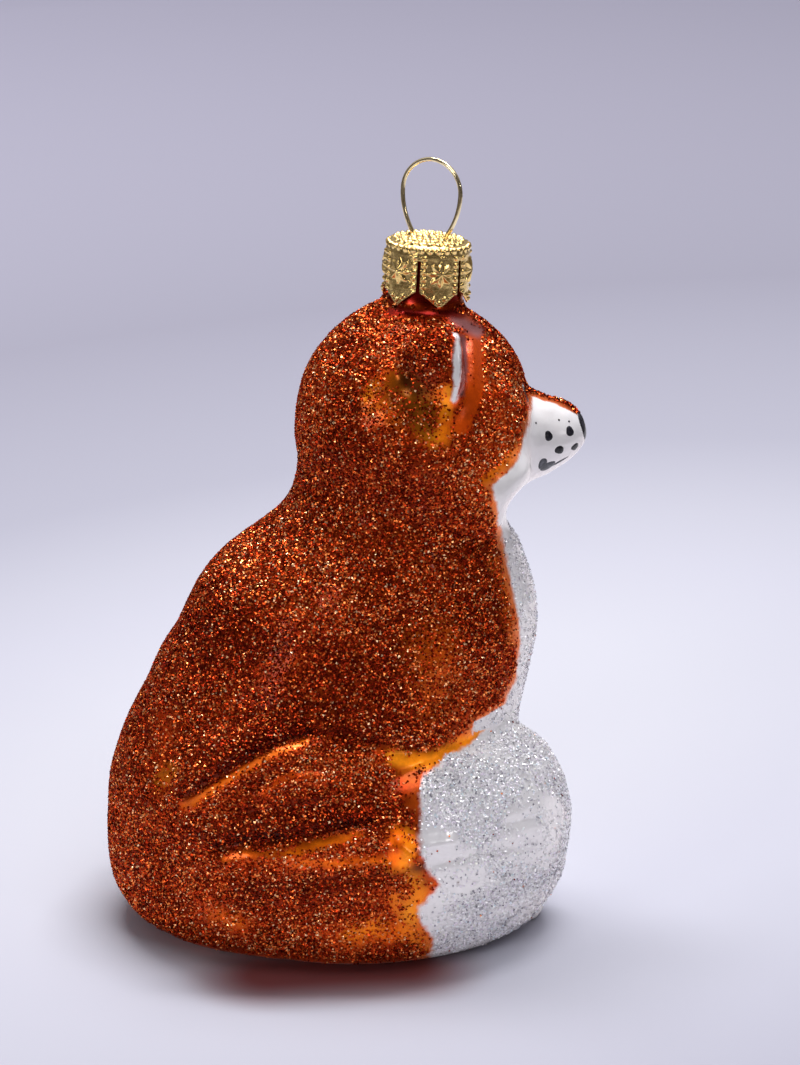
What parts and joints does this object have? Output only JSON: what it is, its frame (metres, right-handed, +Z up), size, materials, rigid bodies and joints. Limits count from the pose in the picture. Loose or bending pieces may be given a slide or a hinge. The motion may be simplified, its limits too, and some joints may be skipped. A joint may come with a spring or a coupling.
{
  "type": "hanging glass fox figurine",
  "caption": "Blown glass fox figurine, sitting with its tail round its side, with a stamped crown cap and a wire hanging loop.",
  "frame": {"origin": "on the flat base, below the foot of the neck tube", "axes": "+Z up along the figure's height, -Y the way the fox looks, +X to the fox's left"},
  "size_m": [0.0535, 0.0651, 0.1037],
  "materials": {
    "lacquered_glass": "thin blown glass, silvered inside, clear orange lacquer and copper glitter outside",
    "gold_cap": "stamped sheet, gold lacquered, bright",
    "gold_wire": "drawn wire, pale gold plated, bright",
    "white_lacquer": "satin white lacquer over silvered glass",
    "black_enamel": "hand-dotted gloss enamel",
    "copper_glitter": "cut metallised film flakes",
    "white_glitter": "cut iridescent film flakes"
  },
  "bodies": {
    "figure": {"glass_figure": "lacquered_glass"},
    "crown": {"cap": "gold_cap"},
    "hanger": {"hanger_wire": "gold_wire"}
  },
  "joints": [
    {"name": "cap_lift", "type": "slide", "parent": "figure", "child": "crown", "axis": [0, -0.0558, 0.9984], "range_m": [0, 0.014]},
    {"name": "ring_tilt", "type": "hinge", "parent": "crown", "child": "hanger", "pos_m": [0, -0.00039, 0.09287], "axis": [0.6157, 0.7868, 0.044], "range_deg": [-10, 10]}
  ]
}
